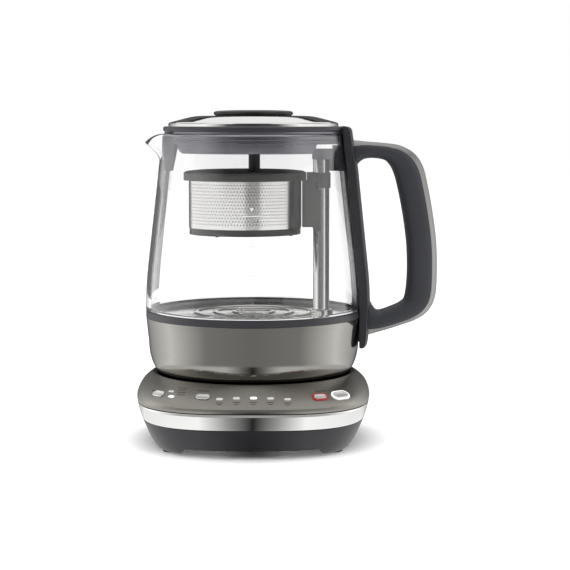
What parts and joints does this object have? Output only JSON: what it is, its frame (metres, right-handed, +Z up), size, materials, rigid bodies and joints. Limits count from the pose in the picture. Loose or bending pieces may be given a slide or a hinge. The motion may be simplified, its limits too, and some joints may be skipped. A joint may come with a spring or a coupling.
{
  "type": "automatic tea maker",
  "caption": "Cordless glass tea maker: a lidded jug with a handle, a steel tea basket lifted and lowered on a motor-driven post, and a round-cornered power base with a sloping control panel.",
  "frame": {"origin": "on the table plane, under the axis that the jug and its power connector share", "axes": "+X from the jug's axis towards the handle, -Y towards the control panel at the front, +Z up"},
  "size_m": [0.218, 0.1772, 0.24],
  "materials": {
    "housing_plastic": "fine moulded texture",
    "black_plastic": "moulded",
    "foot_rubber": "matt",
    "polished_steel": "mirror polished stainless steel",
    "brushed_steel": "satin stainless steel",
    "smoked_metal": "smoked satin metallic",
    "slate_plastic": "satin moulded",
    "olive_plastic": "satin moulded",
    "grip_plastic": "soft touch",
    "knob_plastic": "satin",
    "jug_glass": "clear borosilicate glass",
    "smoke_plastic": "smoked translucent",
    "seal_silicone": "silicone",
    "button_plastic": "metallised",
    "lens_plastic": "frosted light guide",
    "white_light": "lit light ring",
    "red_light": "lit light ring",
    "circuit_board": "solder mask",
    "brass": "plated contact",
    "zinc_steel": "zinc plated",
    "magnet_metal": "nickel plated",
    "nut_plastic": "acetal"
  },
  "bodies": {
    "power_base": {"base_housing": "housing_plastic", "rubber_feet": "foot_rubber", "trim_band": "polished_steel", "control_panel": "smoked_metal", "seat_dish": "black_plastic", "base_connector": "black_plastic", "connector_pin": "brass", "control_board": "circuit_board", "switch_mounts": "olive_plastic", "tact_switches": "black_plastic", "power_board": "circuit_board", "indicator_lenses": "lens_plastic", "start_light_ring": "white_light", "keep_warm_light_ring": "red_light", "cord_gland": "foot_rubber", "base_screws": "zinc_steel"},
    "swivel_ring": {"connector_shroud": "black_plastic"},
    "strength_button_body": {"strength_button": "button_plastic"},
    "tea_type_button_body": {"tea_type_button": "button_plastic"},
    "keep_warm_button_body": {"keep_warm_button": "button_plastic"},
    "start_button_body": {"start_button": "button_plastic"},
    "jug": {"glass_body": "jug_glass", "glass_collar": "slate_plastic", "glass_seal": "seal_silicone", "jug_shell": "smoked_metal", "floor_plate": "brushed_steel", "heating_element": "zinc_steel", "jug_bottom_cover": "black_plastic", "jug_connector": "black_plastic", "temperature_sensor": "brushed_steel", "lift_motor": "zinc_steel", "motor_bracket": "olive_plastic", "lift_post": "brushed_steel", "post_cap": "smoke_plastic", "neck_bracket": "black_plastic", "handle_spine": "slate_plastic", "handle_grip": "grip_plastic", "handle_trim": "smoked_metal", "handle_screws": "zinc_steel"},
    "lift_screw": {"lead_screw": "brushed_steel", "shaft_coupler": "nut_plastic"},
    "lift_nut": {"drive_nut": "nut_plastic", "drive_magnets": "magnet_metal"},
    "carriage": {"carriage_frame": "olive_plastic", "carriage_magnets": "magnet_metal"},
    "tea_basket": {"basket_rim": "olive_plastic", "basket_wall": "brushed_steel", "basket_floor": "brushed_steel", "basket_base_ring": "olive_plastic"},
    "tea_basket_lid": {"basket_lid": "olive_plastic", "basket_lid_stem": "black_plastic"},
    "jug_lid": {"lid_rim": "slate_plastic", "lid_plate": "polished_steel", "lid_knob": "knob_plastic", "lid_seal": "seal_silicone", "lid_skirt": "smoke_plastic", "spout_guard": "smoke_plastic", "lid_screws": "zinc_steel"}
  },
  "joints": [
    {"name": "jug_swivel", "type": "hinge", "parent": "power_base", "child": "swivel_ring", "pos_m": [0, 0, 0.05], "axis": [0, 0, 1], "continuous": true},
    {"name": "jug_lift_off", "type": "slide", "parent": "swivel_ring", "child": "jug", "axis": [0, 0, 1], "range_m": [0, 0.06]},
    {"name": "lid_lift_off", "type": "slide", "parent": "jug", "child": "jug_lid", "axis": [0, 0, 1], "range_m": [0, 0.05]},
    {"name": "basket_travel", "type": "slide", "parent": "jug", "child": "carriage", "axis": [0, 0, 1], "range_m": [-0.05, 0]},
    {"name": "nut_travel", "type": "slide", "parent": "jug", "child": "lift_nut", "axis": [0, 0, 1], "range_m": [-0.05, 0]},
    {"name": "screw_spin", "type": "hinge", "parent": "jug", "child": "lift_screw", "pos_m": [0.0493, 0, 0.12], "axis": [0, 0, 1], "range_deg": [-1800, 0]},
    {"name": "basket_lift_out", "type": "slide", "parent": "carriage", "child": "tea_basket", "axis": [0, 0, 1], "range_m": [0, 0.007]},
    {"name": "basket_lid_lift", "type": "slide", "parent": "tea_basket", "child": "tea_basket_lid", "axis": [0, 0, 1], "range_m": [0, 0.004]},
    {"name": "strength_press", "type": "slide", "parent": "power_base", "child": "strength_button_body", "axis": [0.3803, 0.3446, -0.8583], "range_m": [0, 0.0006], "stiffness_N_per_m": 400},
    {"name": "tea_type_press", "type": "slide", "parent": "power_base", "child": "tea_type_button_body", "axis": [0.11, 0.5209, -0.8465], "range_m": [0, 0.0006], "stiffness_N_per_m": 400},
    {"name": "keep_warm_press", "type": "slide", "parent": "power_base", "child": "keep_warm_button_body", "axis": [-0.193, 0.4632, -0.865], "range_m": [0, 0.0006], "stiffness_N_per_m": 400},
    {"name": "start_press", "type": "slide", "parent": "power_base", "child": "start_button_body", "axis": [-0.3337, 0.3785, -0.8633], "range_m": [0, 0.0006], "stiffness_N_per_m": 400}
  ],
  "couplings": [
    {"joint": "nut_travel", "follows": "basket_travel", "ratio": 1},
    {"joint": "screw_spin", "follows": "basket_travel", "rad_per_m": 628.32}
  ]
}
